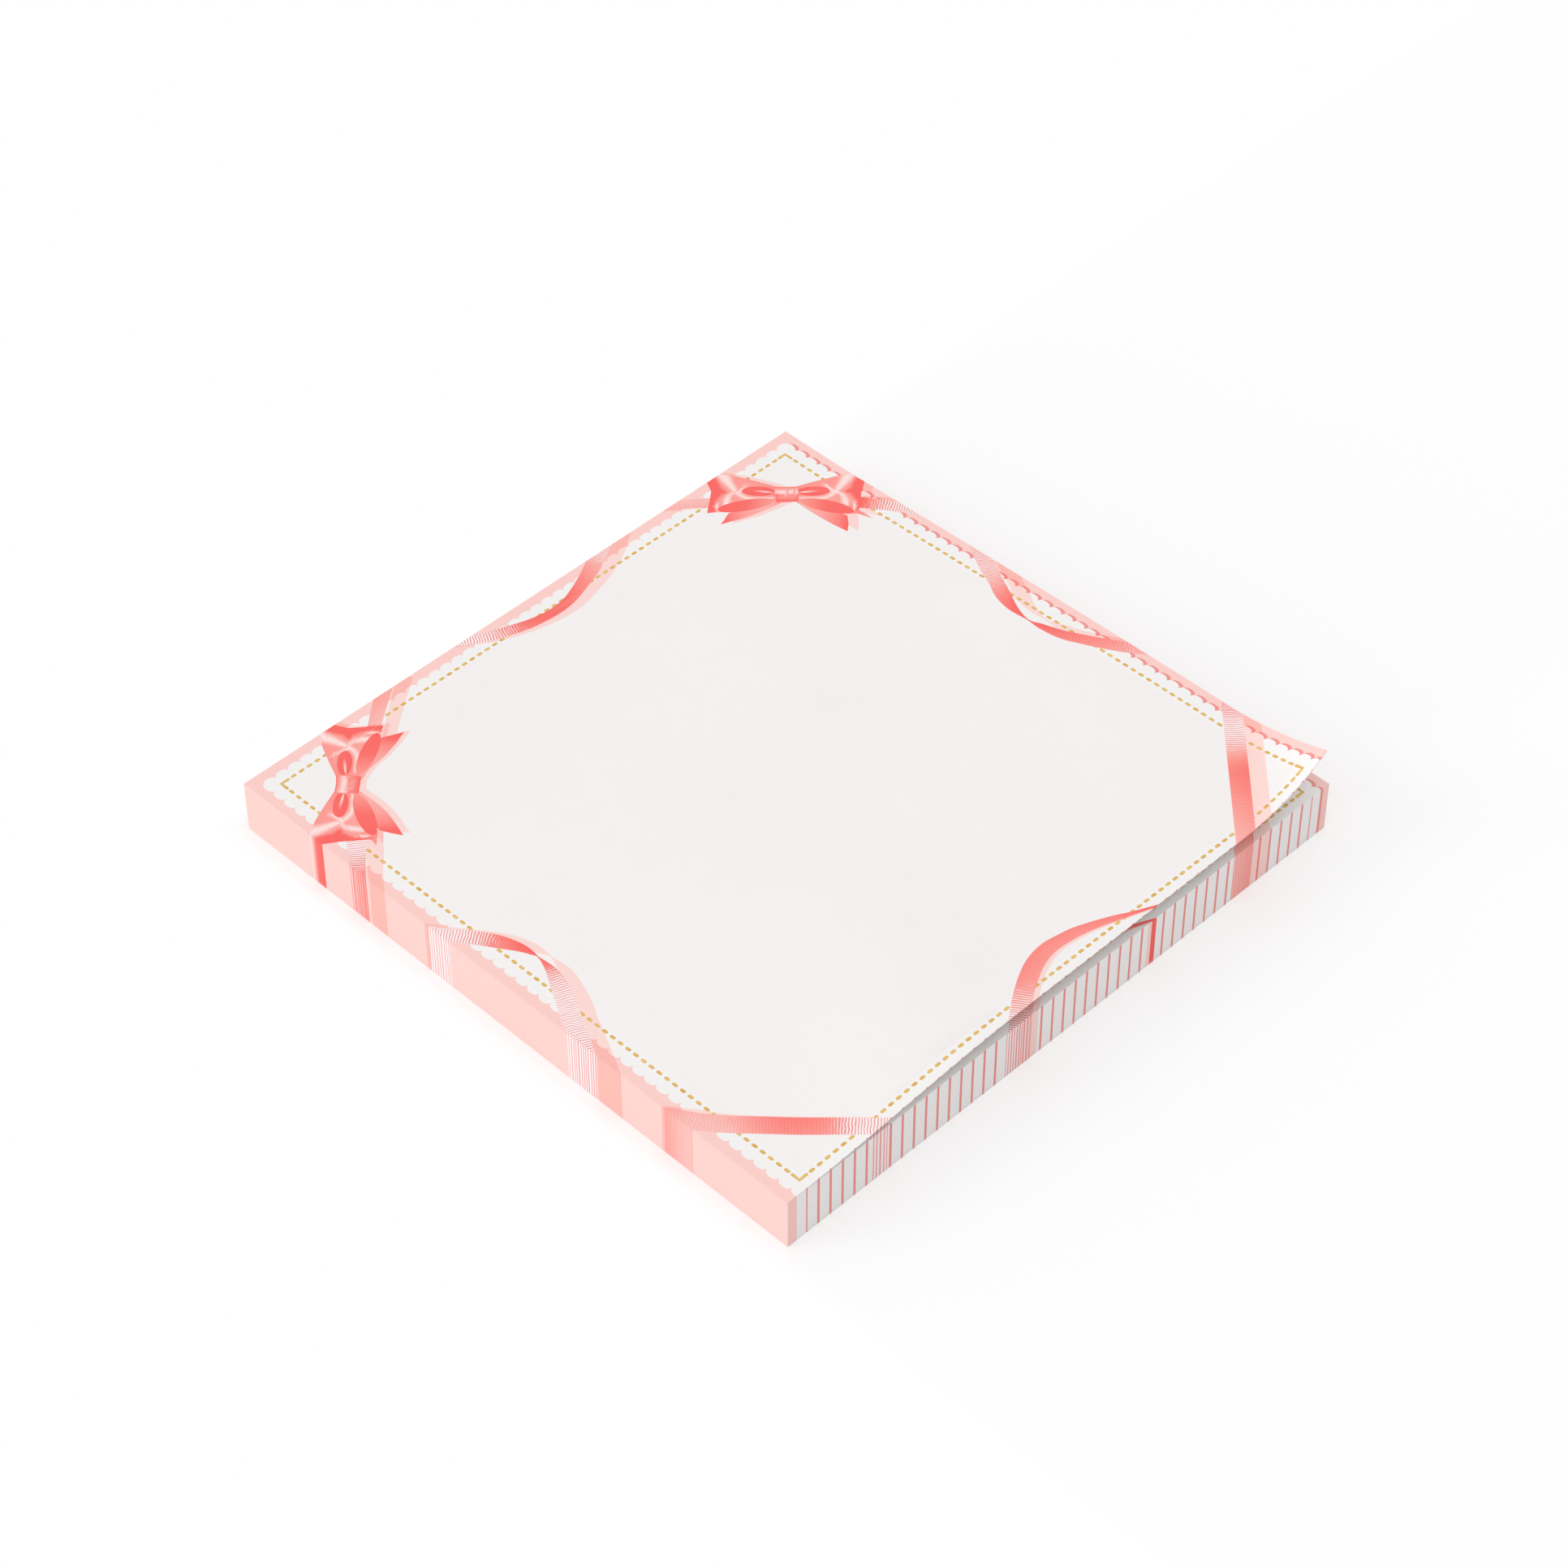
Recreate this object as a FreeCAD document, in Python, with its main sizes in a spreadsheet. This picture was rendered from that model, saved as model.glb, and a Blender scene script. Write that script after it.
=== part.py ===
import FreeCAD, Part
import Sketcher
import math
import os

# Sticky note pad: a square block of notes on a card, with its top note curling up at one corner.
#
# Frame, in millimetres: the origin is the middle of the underside, Z points up, X runs across the
# notes, and +Y points at their glued edge. The free corner of the top note is at +X, -Y.

# Driving sizes: alias, value, what it is
SIZES = [
    ("pad_width", 76.2, "side of a note along X, the three inch size"),
    ("pad_length", 76.2, "side of a note along Y, from its free edge to its glued edge"),
    ("sheet_count", 50, "notes in the pad, the lifted one included"),
    ("sheet_thickness", 0.12, "one note"),
    ("backing_thickness", 0.23, "card under the lowest note"),
    ("adhesive_width", 9.0, "glue strip under each note, along its glued edge"),
    ("adhesive_thickness", 0.025, "glue strip"),
    ("edge_lift", 1.7, "height of the top note's free edge over the block"),
    ("lift_run", 31.0, "length of the free edge that comes up from the resting corner"),
    ("curl_reach", 9.5, "from the free corner in to where its curl starts, along the diagonal"),
    ("curl_radius", 15.0, "inside radius of the corner's curl"),
    ("curl_angle", 33.0, "degrees that the corner is turned up"),
]

# Rows and columns of control points in the curled note, closer together towards its free corner
CURL_STATIONS = 34
CURL_GRADING = 1.5
SURFACE_DEGREE = 3

doc = FreeCAD.newDocument("sticky_note_pad")


def make_size_sheet():
    """A spreadsheet with one row for each driving size: its name, its value and what it is."""
    sheet = doc.addObject("Spreadsheet::Sheet", "Sizes")
    for row, (alias, value, meaning) in enumerate(SIZES, start=1):
        sheet.set(f"A{row}", alias)
        sheet.set(f"B{row}", str(value))
        sheet.setAlias(f"B{row}", alias)
        sheet.set(f"C{row}", meaning)
    doc.recompute()
    return sheet


sheet = make_size_sheet()


def origin_plane(body, role):
    """The body's own origin plane with this role, such as XY_Plane."""
    return next(item for item in body.Origin.OriginFeatures if item.Role == role)


def make_flat_piece(name, width, length, height, glued_edge=None):
    """A flat rectangular piece as a body: a sketched rectangle on the XY plane, padded upwards.

    The sizes are expressions. The rectangle is centred on the origin, unless glued_edge gives the
    distance from the origin to its +Y side.
    """
    body = doc.addObject("PartDesign::Body", name)
    body.Label = name
    sketch = body.newObject("Sketcher::SketchObject", name + "_outline")
    sketch.AttachmentSupport = [(origin_plane(body, "XY_Plane"), "")]
    sketch.MapMode = "FlatFace"

    corners = [FreeCAD.Vector(x, y, 0) for x, y in ((-1, -1), (1, -1), (1, 1), (-1, 1))]
    for start in range(4):
        sketch.addGeometry(Part.LineSegment(corners[start], corners[(start + 1) % 4]), False)
    for start in range(4):
        sketch.addConstraint(Sketcher.Constraint("Coincident", start, 2, (start + 1) % 4, 1))
    sketch.addConstraint(Sketcher.Constraint("Horizontal", 2))
    sketch.addConstraint(Sketcher.Constraint("Vertical", 1))
    sketch.addConstraint(Sketcher.Constraint("Vertical", 3))

    # The ends of the free side mirror each other in the vertical axis, which also levels it
    sketch.addConstraint(Sketcher.Constraint("Symmetric", 0, 1, 0, 2, -2))
    sizes = [
        ("width", Sketcher.Constraint("DistanceX", 0, 1, 0, 2, 2.0), width),
        ("length", Sketcher.Constraint("DistanceY", 1, 1, 1, 2, 2.0), length),
        ("glued_edge", Sketcher.Constraint("DistanceY", -1, 1, 1, 2, 1.0), glued_edge or length + " / 2"),
    ]
    for label, constraint, expression in sizes:
        index = sketch.addConstraint(constraint)
        sketch.renameConstraint(index, label)
        sketch.setExpression("Constraints." + label, expression)

    pad = body.newObject("PartDesign::Pad", name + "_pad")
    pad.Profile = sketch
    pad.setExpression("Length", height)
    return body


def stack_on(body, *heights):
    """Raise a body by the sum of the heights of what lies under it."""
    body.setExpression("Placement.Base.z", " + ".join(heights))


# Stack heights as expressions of the sizes, from the table up
BACKING = "Sizes.backing_thickness"
GLUE = "Sizes.adhesive_thickness"
BLOCK = "(Sizes.sheet_count - 1) * Sizes.sheet_thickness"
HALF_LENGTH = "Sizes.pad_length / 2"

# Card that closes the pad underneath
backing_sheet = make_flat_piece("backing_sheet", "Sizes.pad_width", "Sizes.pad_length", BACKING)

# Glue of the lowest note, which holds the card
backing_adhesive = make_flat_piece(
    "backing_adhesive", "Sizes.pad_width", "Sizes.adhesive_width", GLUE, HALF_LENGTH
)
stack_on(backing_adhesive, BACKING)

# Every note under the top one, as one square block
page_block = make_flat_piece("page_block", "Sizes.pad_width", "Sizes.pad_length", BLOCK)
stack_on(page_block, BACKING, GLUE)

# Glue of the top note, which holds it along the block's +Y edge
top_sheet_adhesive = make_flat_piece(
    "top_sheet_adhesive", "Sizes.pad_width", "Sizes.adhesive_width", GLUE, HALF_LENGTH
)
stack_on(top_sheet_adhesive, BACKING, GLUE, BLOCK)


def free_edge_lift(x, y):
    """Height of the bent note over its flat state at (x, y), without the corner's curl.

    The height is the lift of the free edge, times a smooth step along X over the lift run, times
    a rise along Y that leaves the glue flat and levels out at the free edge.
    """
    across = min(max((x + sheet.pad_width / 2) / sheet.lift_run, 0.0), 1.0)
    free_length = sheet.pad_length - sheet.adhesive_width
    along = min(max((sheet.pad_length / 2 - sheet.adhesive_width - y) / free_length, 0.0), 1.0)
    step = across * across * (3.0 - 2.0 * across)
    return sheet.edge_lift * step * math.sin(along * math.pi / 2)


def corner_curl(x, y):
    """How far the corner's curl takes the point (x, y) inwards along the diagonal, and how far up.

    The curl is a cylinder across the diagonal: an arc from the curl's start to the curl angle,
    then straight to the corner. Lengths along the note stay as they are.
    """
    to_corner = ((sheet.pad_width / 2 - x) + (y + sheet.pad_length / 2)) / math.sqrt(2)
    past = max(sheet.curl_reach - to_corner, 0.0)
    full_turn = math.radians(sheet.curl_angle)
    turn = min(past / sheet.curl_radius, full_turn)
    straight = past - turn * sheet.curl_radius
    run = sheet.curl_radius * math.sin(turn) + straight * math.cos(turn)
    rise = sheet.curl_radius * (1.0 - math.cos(turn)) + straight * math.sin(turn)
    return past - run, rise


def bent_note_point(x, y, floor):
    """Where the point (x, y) of the flat note's underside lies on the bent note."""
    inwards, rise = corner_curl(x, y)
    shift = inwards / math.sqrt(2)
    return FreeCAD.Vector(x - shift, y + shift, floor + free_edge_lift(x, y) + rise)


def bent_note_normal(x, y):
    """Upward unit normal of the bent note at (x, y), from two short steps along the surface."""
    step = sheet.sheet_thickness
    east = bent_note_point(x + step, y, 0.0) - bent_note_point(x - step, y, 0.0)
    north = bent_note_point(x, y + step, 0.0) - bent_note_point(x, y - step, 0.0)
    return east.cross(north).normalize()


def graded_stations(start, end):
    """Places from start to end that draw closer together towards the end."""
    fractions = [1.0 - (1.0 - i / (CURL_STATIONS - 1)) ** CURL_GRADING for i in range(CURL_STATIONS)]
    return [start + (end - start) * fraction for fraction in fractions]


def clamped_surface(poles):
    """B-spline surface over a square grid of control points, clamped at all four sides."""
    spans = CURL_STATIONS - SURFACE_DEGREE
    knots = [i / spans for i in range(spans + 1)]
    ends = SURFACE_DEGREE + 1
    multiplicities = [ends] + [1] * (spans - 1) + [ends]
    surface = Part.BSplineSurface()
    surface.buildFromPolesMultsKnots(
        poles, multiplicities, multiplicities, knots, knots, False, False, SURFACE_DEGREE, SURFACE_DEGREE
    )
    return surface


def make_top_sheet():
    """The lifted note: a surface of control points on the bent note, given its thickness."""
    floor = (
        sheet.backing_thickness
        + 2 * sheet.adhesive_thickness
        + (sheet.sheet_count - 1) * sheet.sheet_thickness
    )
    columns = graded_stations(-sheet.pad_width / 2, sheet.pad_width / 2)
    rows = graded_stations(sheet.pad_length / 2, -sheet.pad_length / 2)
    under = [[bent_note_point(x, y, floor) for y in rows] for x in columns]
    over = [
        [under[i][j] + bent_note_normal(x, y) * sheet.sheet_thickness for j, y in enumerate(rows)]
        for i, x in enumerate(columns)
    ]
    lower, upper = clamped_surface(under), clamped_surface(over)
    borders = [lambda surface: surface.uIso(0.0), lambda surface: surface.uIso(1.0),
               lambda surface: surface.vIso(0.0), lambda surface: surface.vIso(1.0)]
    faces = [lower.toShape(), upper.toShape()]
    for border in borders:
        faces.append(Part.makeRuledSurface(border(lower).toShape(), border(upper).toShape()))
    shell = Part.Shell(faces)
    shell.sewShape()
    solid = Part.Solid(shell)
    if solid.Volume < 0:
        solid.reverse()
    note = doc.addObject("Part::Feature", "top_sheet")
    note.Label = "top_sheet"
    note.Shape = solid
    note.Placement = FreeCAD.Placement()
    return note


top_sheet = make_top_sheet()
doc.recompute()

# Every object must have computed, and every piece must be one sound solid
for item in doc.Objects:
    if "Invalid" in item.State or "Error" in item.State:
        raise RuntimeError(f"{item.Label} did not compute: {item.State}")

os.makedirs("parts", exist_ok=True)
for piece in (backing_sheet, backing_adhesive, page_block, top_sheet_adhesive, top_sheet):
    shape = piece.Shape
    if shape.isNull() or not shape.isValid() or len(shape.Solids) != 1:
        raise RuntimeError(f"{piece.Label} is not one sound solid")
    box = shape.BoundBox
    print(f"{piece.Label}: {shape.Volume:.1f} mm3, x {box.XMin:.2f} to {box.XMax:.2f}, "
          f"y {box.YMin:.2f} to {box.YMax:.2f}, z {box.ZMin:.3f} to {box.ZMax:.3f}")
    shape.exportStep(f"parts/{piece.Label}.step")
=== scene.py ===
# %% [markdown]
# # A sticky note pad with a curled top note
#
# The pad is a block of square notes on a card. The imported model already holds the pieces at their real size.
# This lesson gives them their print, their paper and their light. The steps are: load the model, place the
# camera and the lights, bend the top note with a formula, draw the border of ribbons as flat shapes, cut
# those shapes into a mesh whose edges follow them, and hang that mesh on the two pieces that carry the print.

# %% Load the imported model
import math

import bpy
import numpy as np
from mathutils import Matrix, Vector
from mathutils.geometry import delaunay_2d_cdt


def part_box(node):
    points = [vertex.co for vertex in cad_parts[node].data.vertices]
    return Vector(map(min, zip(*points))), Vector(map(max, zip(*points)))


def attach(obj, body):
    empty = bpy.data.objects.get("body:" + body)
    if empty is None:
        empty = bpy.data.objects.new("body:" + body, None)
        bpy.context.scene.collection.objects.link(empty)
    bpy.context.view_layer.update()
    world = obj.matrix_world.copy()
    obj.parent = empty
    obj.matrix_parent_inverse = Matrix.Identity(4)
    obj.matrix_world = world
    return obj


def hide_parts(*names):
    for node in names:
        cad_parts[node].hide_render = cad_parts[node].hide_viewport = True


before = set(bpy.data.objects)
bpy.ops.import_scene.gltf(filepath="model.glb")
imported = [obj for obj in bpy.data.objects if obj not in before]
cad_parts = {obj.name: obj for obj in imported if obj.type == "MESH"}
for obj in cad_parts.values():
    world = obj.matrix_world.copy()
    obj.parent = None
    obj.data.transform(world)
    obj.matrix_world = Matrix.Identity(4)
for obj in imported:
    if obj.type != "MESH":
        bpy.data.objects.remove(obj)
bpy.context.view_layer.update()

print("pieces in the packed model:", sorted(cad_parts))

# %% [markdown]
# ## Sizes
#
# Print is easiest to think about in millimetres, so the flat art is drawn in millimetres from the middle of
# the note, and turned into metres only when it becomes a mesh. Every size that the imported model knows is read
# from it. The bend of the top note repeats the values that the model was built with.

# %% Sizes in millimetres
MM = 0.001
block_low, block_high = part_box("page_block")
note_low, note_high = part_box("top_sheet")
glue_low, glue_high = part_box("top_sheet_adhesive")

NOTES_IN_BLOCK = 49
HALF = block_high.x / MM
BLOCK_BOTTOM = block_low.z / MM
BLOCK_TOP = block_high.z / MM
NOTE_FLOOR = note_low.z / MM
NOTE_THICKNESS = (BLOCK_TOP - BLOCK_BOTTOM) / NOTES_IN_BLOCK
GLUE_WIDTH = (glue_high.y - glue_low.y) / MM

EDGE_LIFT = 1.7       # height of the top note's free edge over the block
LIFT_RUN = 31.0       # length of that edge that comes up from the resting corner
CURL_REACH = 9.5      # from the free corner in to where its curl starts
CURL_RADIUS = 15.0
CURL_ANGLE = math.radians(33.0)
print(f"note {2 * HALF:.1f} mm square and {NOTE_THICKNESS:.2f} mm thick, block top at {BLOCK_TOP:.2f} mm")

# %% [markdown]
# ## Camera
#
# The viewpoint looks down at 45 degrees on the near corner with a long lens, which keeps the far sides almost
# parallel to the near ones. The place of the camera is worked out from a direction, a distance and the point
# that the view is centred on, so it can be read and changed as a photographer would.

# %% Camera
CAMERA_AZIMUTH = -135.08      # degrees, counted from +X
CAMERA_ELEVATION = 44.86
CAMERA_DISTANCE = 0.4408
CAMERA_SHIFT_RIGHT = -0.00026
CAMERA_SHIFT_UP = 0.00439
CAMERA_REACH = (0.01, 100.0)  # nearest and farthest that it sees
SENSOR = 36.0
VIEW_ANGLE = math.radians(20.22)


def add_object(name, data):
    """An object with this data, in the scene's own collection."""
    thing = bpy.data.objects.new(name, data)
    bpy.context.scene.collection.objects.link(thing)
    return thing


def direction(azimuth, elevation):
    """Unit vector towards an azimuth in degrees from +X and an elevation in degrees."""
    turn, height = math.radians(azimuth), math.radians(elevation)
    level = math.cos(height)
    return Vector((math.cos(turn) * level, math.sin(turn) * level, math.sin(height)))


def look_away(thing, behind):
    """Turn a camera or a lamp so that it looks away from the direction behind it, with its own Y upwards."""
    thing.rotation_mode = "QUATERNION"
    thing.rotation_quaternion = behind.to_track_quat("Z", "Y")


back = direction(CAMERA_AZIMUTH, CAMERA_ELEVATION)
camera_right = (-back).cross(Vector((0, 0, 1))).normalized()
camera_up = camera_right.cross(-back)

camera = add_object("camera", bpy.data.cameras.new("camera"))
camera.data.sensor_width = SENSOR
camera.data.lens = SENSOR / 2 / math.tan(VIEW_ANGLE / 2)
camera.data.clip_start, camera.data.clip_end = CAMERA_REACH
camera.location = back * CAMERA_DISTANCE + camera_right * CAMERA_SHIFT_RIGHT + camera_up * CAMERA_SHIFT_UP
look_away(camera, back)
bpy.context.scene.camera = camera
bpy.context.scene.view_settings.view_transform = "Standard"
print(f"camera lens {camera.data.lens:.1f} mm at {tuple(round(c, 3) for c in camera.location)} m")

# %% [markdown]
# ## Light
#
# Paper is pale, so the light has to be plain: a white sky gives nine tenths of the light on a level face, and
# a weak broad sun from the far left gives most of the rest, so a colour renders about as it is written. A
# second weak sun stands low on the left and lights little but the side that faces it, which is the brightest
# side of the pad. The free edge falls in shade.
#
# The white of the background is the floor's own. As the camera sees it, the floor glows at strength one
# beyond the two lit sides of the pad, and about half of it does elsewhere, which thins the shadow without any
# more light on the pad. The sky and every finish are trees of nodes, so the helpers that build such a tree
# come first.

# %% Node helpers
WHITE = (1.0, 1.0, 1.0, 1.0)


def shader(tree, kind, *pairs, **settings):
    """Add one node to a tree.

    A setting is an attribute of the node, or an input by its name with the spaces written as underscores. A
    pair is an input by its name or number. The value that an input is given is a plain one, or the socket
    that feeds it.
    """
    node = tree.nodes.new(kind)
    for name, value in settings.items():
        if name in node.bl_rna.properties:
            setattr(node, name, value)
        else:
            pairs += ((name.replace("_", " "), value),)
    for target, value in pairs:
        if isinstance(value, bpy.types.NodeSocket):
            tree.links.new(value, node.inputs[target])
        else:
            node.inputs[target].default_value = value
    return node


def maths(tree, operation, *values, clamp=False):
    """A Math node's result from one or two values, each a socket or a plain number."""
    return shader(tree, "ShaderNodeMath", *enumerate(values), operation=operation, use_clamp=clamp).outputs[0]


def for_camera(tree, unseen, seen):
    """A shader that the camera sees, in place of another one that every other ray meets."""
    ray = shader(tree, "ShaderNodeLightPath").outputs["Is Camera Ray"]
    return shader(tree, "ShaderNodeMixShader", (0, ray), (1, unseen), (2, seen)).outputs[0]


def new_material(name):
    """An empty node material and its tree."""
    material = bpy.data.materials.new(name)
    material.use_nodes = True
    material.node_tree.nodes.clear()
    return material, material.node_tree


# %% Sky and sun
SKY_LIGHT = 0.885
SUNS = {                  # light on a face turned straight at it, elevation, azimuth and breadth in degrees
    "far_sun": (0.165, 27.0, 144.0, 30.0),
    "low_sun": (0.25, 5.0, 180.0, 20.0),
}

world = bpy.data.worlds.new("white_sky")
bpy.context.scene.world = world
world.use_nodes = True
sky = world.node_tree
sky.nodes.clear()
sky_light = shader(sky, "ShaderNodeBackground", Color=WHITE, Strength=SKY_LIGHT).outputs[0]
sky_seen = shader(sky, "ShaderNodeBackground", Color=WHITE, Strength=1.0).outputs[0]
shader(sky, "ShaderNodeOutputWorld", Surface=for_camera(sky, sky_light, sky_seen))

level_light = SKY_LIGHT
for name, (strength, elevation, azimuth, breadth) in SUNS.items():
    sun = add_object(name, bpy.data.lights.new(name, "SUN"))
    sun.data.energy = strength * math.pi
    sun.data.angle = math.radians(breadth)
    towards_sun = direction(azimuth, elevation)
    look_away(sun, towards_sun)
    level_light += strength * towards_sun.z
print(f"light on a level face: {level_light:.2f}")

# %% Floor
FLOOR_HALF = 3.0
FLOOR_DROP = 0.00002      # keeps the floor clear of the card's underside
FLOOR_BOUNCE = 0.7        # how white the floor is to the light that it throws back
FLOOR_GLOW = 0.48         # share of the floor that glows on the shaded sides, as the camera sees it
GLOW_FROM, GLOW_FULL = 0.0385, 0.0405     # how far out on the lit sides the glow grows to the whole floor

floor_mesh = bpy.data.meshes.new("floor")
square = ((-1, -1), (1, -1), (1, 1), (-1, 1))
floor_mesh.from_pydata([(x * FLOOR_HALF, y * FLOOR_HALF, -FLOOR_DROP) for x, y in square], [], [(0, 1, 2, 3)])
floor = add_object("floor", floor_mesh)

floor_material, tree = new_material("white_floor")
place = shader(tree, "ShaderNodeTexCoord").outputs["Object"]
across, up, _ = shader(tree, "ShaderNodeSeparateXYZ", Vector=place).outputs
beyond = maths(tree, "MAXIMUM", maths(tree, "MULTIPLY", across, -1.0), up)
share = shader(
    tree, "ShaderNodeMapRange", Value=beyond, interpolation_type="SMOOTHSTEP",
    From_Min=GLOW_FROM, From_Max=GLOW_FULL, To_Min=FLOOR_GLOW, To_Max=1.0,
).outputs[0]
bounce = shader(tree, "ShaderNodeBsdfDiffuse", Color=(FLOOR_BOUNCE, FLOOR_BOUNCE, FLOOR_BOUNCE, 1.0)).outputs[0]
shaded = shader(tree, "ShaderNodeBsdfDiffuse", Color=WHITE).outputs[0]
glow = shader(tree, "ShaderNodeEmission", Color=WHITE, Strength=1.0).outputs[0]
lit = shader(tree, "ShaderNodeMixShader", (0, share), (1, shaded), (2, glow)).outputs[0]
shader(tree, "ShaderNodeOutputMaterial", Surface=for_camera(tree, bounce, lit))
floor_mesh.materials.append(floor_material)
print("share of the floor that glows for the camera:", FLOOR_GLOW)

# %% [markdown]
# ## The bend of the top note
#
# Paper bends in one direction at a time, so the curl is a piece of a cylinder: an arc, then a straight run to
# the corner, with the length of the paper kept. The rest of the note rises in a slow wave from its glue to
# its free edge. The bend is a function from flat places to bent ones, so whatever is drawn on the flat note
# follows it.

# %% Bend



def smooth_step(share):
    """A share from 0 to 1 made level at both ends: its square times (3 - 2 share)."""
    share = np.clip(share, 0, 1)
    return share**2 * (3 - 2 * share)


def bent_surface(x, y):
    """The underside of the bent note over flat places x and y.

    Height is the floor, plus the edge lift times a smooth step along X times a quarter sine along Y, plus the
    rise of the curl: radius times (1 - cos turn), then straight on at that turn. The curl also draws the
    paper in along the diagonal by the run that it loses.
    """
    along = np.clip((HALF - GLUE_WIDTH - y) / (2 * HALF - GLUE_WIDTH), 0, 1)
    lift = EDGE_LIFT * smooth_step((x + HALF) / LIFT_RUN) * np.sin(along * math.pi / 2)
    past = np.maximum(CURL_REACH - ((HALF - x) + (y + HALF)) / math.sqrt(2), 0)
    turn = np.minimum(past / CURL_RADIUS, CURL_ANGLE)
    straight = past - turn * CURL_RADIUS
    rise = CURL_RADIUS * (1 - np.cos(turn)) + straight * np.sin(turn)
    shift = (past - CURL_RADIUS * np.sin(turn) - straight * np.cos(turn)) / math.sqrt(2)
    return np.stack([x - shift, y + shift, NOTE_FLOOR + lift + rise], axis=-1)


def bend(flat, above=0.0):
    """Places on the bent note for flat places (n, 2), and above them by a distance along the upward normal.

    The normal is the cross product of two short steps on the surface, one along X and one along Y.
    """
    x, y = flat[:, 0], flat[:, 1]
    step = NOTE_THICKNESS
    east = bent_surface(x + step, y) - bent_surface(x - step, y)
    north = bent_surface(x, y + step) - bent_surface(x, y - step)
    normal = np.cross(east, north)
    normal /= np.linalg.norm(normal, axis=1, keepdims=True)
    return bent_surface(x, y) + normal * above


tip = bend(np.array([[HALF, -HALF]]), NOTE_THICKNESS)[0]
print(f"tip of the curl at {tip.round(2)} mm, the packed note reaches {note_high.z / MM:.2f} mm")

# %% [markdown]
# ## Drawing tools
#
# A printed shape is a ring of points and a rule for its colour. Smooth lines come from a few listed points
# with a spline through them. A ribbon is such a line with a width at each point. Ovals, dashes and scallops
# have their own formulas. Colours are mixed as screen values, as the eye sees them, and become light values at
# the very end.

# %% Lines and rings


def through(points, spans=8):
    """Catmull-Rom spline through the points: each span blends its four nearest points with cubic weights."""
    points = np.asarray(points, float)
    ends = (2 * points[0] - points[1], 2 * points[-1] - points[-2])
    padded = np.vstack([ends[0], points, ends[1]])
    t = np.linspace(0, 1, spans, endpoint=False)[:, None, None]
    a, b, c, d = padded[:-3], padded[1:-2], padded[2:-1], padded[3:]
    curve = b + 0.5 * ((c - a) * t + (2 * a - 5 * b + 4 * c - d) * t**2 + (3 * b - a - 3 * c + d) * t**3)
    return np.vstack([curve.transpose(1, 0, 2).reshape(-1, points.shape[1]), points[-1]])


def directions(line):
    """Unit steps along a line of points, and the unit directions to its left."""
    along = np.gradient(line, axis=0)
    along /= np.linalg.norm(along, axis=1, keepdims=True)
    return along, np.stack([-along[:, 1], along[:, 0]], axis=1)


def oval(centre, half_length, half_width, tilt, count=44):
    """Ring of an ellipse with its long axis turned by tilt degrees."""
    turn = np.linspace(0, 2 * math.pi, count, endpoint=False)
    x, y = half_length * np.cos(turn), half_width * np.sin(turn)
    cosine, sine = math.cos(math.radians(tilt)), math.sin(math.radians(tilt))
    return np.stack([centre[0] + x * cosine - y * sine, centre[1] + x * sine + y * cosine], axis=1)


def inside(points, ring):
    """Whether each point lies in the ring: a ray along +X crosses the ring an odd number of times."""
    found = np.zeros(len(points), bool)
    near = np.flatnonzero(((points > ring.min(0)) & (points < ring.max(0))).all(1))
    x, y = points[near, 0:1], points[near, 1:2]
    (ax, ay), (bx, by) = ring.T, np.roll(ring, -1, axis=0).T
    rise = np.where(by == ay, 1.0, by - ay)
    crossed = ((ay > y) != (by > y)) & (x < (bx - ax) * (y - ay) / rise + ax)
    found[near] = crossed.sum(1) % 2 == 1
    return found


def inside_any(points, rings):
    """Whether each point lies in one of the rings."""
    return np.any([inside(points, ring) for ring in rings], axis=0)


def mix(first, second, share):
    """Blend two colours, or arrays of them, by a share from 0 to 1."""
    share = np.clip(share, 0, 1)[..., None]
    return first * (1 - share) + second * share


# %% Printed colours, as screen values from 0 to 255
PAPER = np.array([245.0, 241.0, 240.0])
LACE = np.array([245.0, 243.0, 242.0])
BORDER = np.array([253.0, 208.0, 202.0])
LACE_SHADOW = np.array([241.0, 150.0, 145.0])
GOLD = np.array([219.0, 170.0, 86.0])
GOLD_LIGHT = np.array([234.0, 198.0, 122.0])
RIBBON_PALE = np.array([254.0, 192.0, 186.0])
RIBBON = np.array([254.0, 150.0, 142.0])
RIBBON_DEEP = np.array([252.0, 106.0, 101.0])
SATIN_LIGHT = np.array([254.0, 231.0, 227.0])
SHADOW_TINT = np.array([1.03, 0.895, 0.878])
SHADOW_RED_LIMIT = 252.0

LAYERS = []               # the inks from the lowest to the highest


def print_ink(rings, paint, threads=None):
    """Print one more ink over what is there: its rings, its colour rule, and the rule of its ribbon threads."""
    LAYERS.append((rings, paint, threads))


def flat_ink(colour):
    """A colour rule that covers what lies under it with one colour."""
    return lambda points, below: np.broadcast_to(colour, below.shape)


def shadow_ink(points, below):
    """A colour rule that tints what lies under it, as a printed shadow does, and keeps its red under full."""
    return np.minimum(below * SHADOW_TINT, SHADOW_RED_LIMIT)


def satin(tone):
    """Colour of satin ribbon for a tone: 0 is where it catches light, 1 its own colour, 2 its deepest fold."""
    return mix(mix(RIBBON_PALE, RIBBON, tone), RIBBON_DEEP, tone - 1)


# %% [markdown]
# ## The lace and the stitch line
#
# The white field ends in scallops, like a lace edge laid on pink card. One scallop is half an ellipse over
# its chord, and a side is a row of them. The corners of the field have a rounder lobe. The art sits low on
# the note, so the row along the free edge runs off the paper and only its notches show. The lace throws a
# narrow shadow down and to the right, which fills those notches. A gold stitch runs inside the lace, in even
# dashes with round ends and an angled dash in each corner.

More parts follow.
